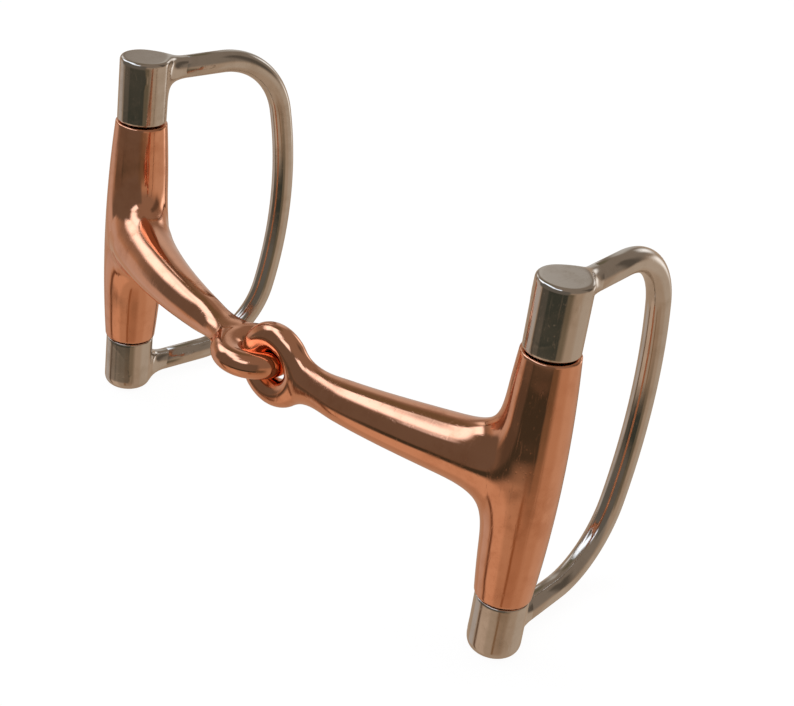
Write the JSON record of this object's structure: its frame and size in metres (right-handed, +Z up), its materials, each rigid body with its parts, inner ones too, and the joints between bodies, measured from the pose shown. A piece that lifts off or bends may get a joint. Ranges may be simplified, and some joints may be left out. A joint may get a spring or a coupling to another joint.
{
  "type": "snaffle bit",
  "caption": "Jointed snaffle bit with a curved two-part copper mouthpiece linked at its middle and D-shaped steel cheeks that swing on long barrels.",
  "frame": {"origin": "under the middle of the bounding box, on the surface that the lower end caps stand on", "axes": "+X from the left barrel to the right barrel, +Y to the rear, the way the bows trail, +Z up along the barrels"},
  "size_m": [0.1448, 0.0718, 0.088],
  "materials": {
    "copper": "polished copper with fine handling marks",
    "polished_steel": "polished stainless steel",
    "pin_steel": "plain turned steel"
  },
  "bodies": {
    "left_mouthpiece": {"left_mouthpiece_half": "copper"},
    "right_mouthpiece": {"right_mouthpiece_half": "copper"},
    "left_cheek": {"left_bow": "polished_steel", "left_upper_cap": "polished_steel", "left_lower_cap": "polished_steel", "left_hinge_pin": "pin_steel"},
    "right_cheek": {"right_bow": "polished_steel", "right_upper_cap": "polished_steel", "right_lower_cap": "polished_steel", "right_hinge_pin": "pin_steel"}
  },
  "joints": [
    {"name": "mouthpiece_fold", "type": "hinge", "parent": "left_mouthpiece", "child": "right_mouthpiece", "pos_m": [-0.00145, -0.02665, 0.044], "axis": [0, 0, 1], "range_deg": [-135, 84]},
    {"name": "left_cheek_swing", "type": "hinge", "parent": "left_mouthpiece", "child": "left_cheek", "pos_m": [-0.065, -0.01149, 0.044], "axis": [0, 0, 1], "range_deg": [-91, 243]},
    {"name": "right_cheek_swing", "type": "hinge", "parent": "right_mouthpiece", "child": "right_cheek", "pos_m": [0.065, -0.01149, 0.044], "axis": [0, 0, 1], "range_deg": [-246, 89]}
  ]
}
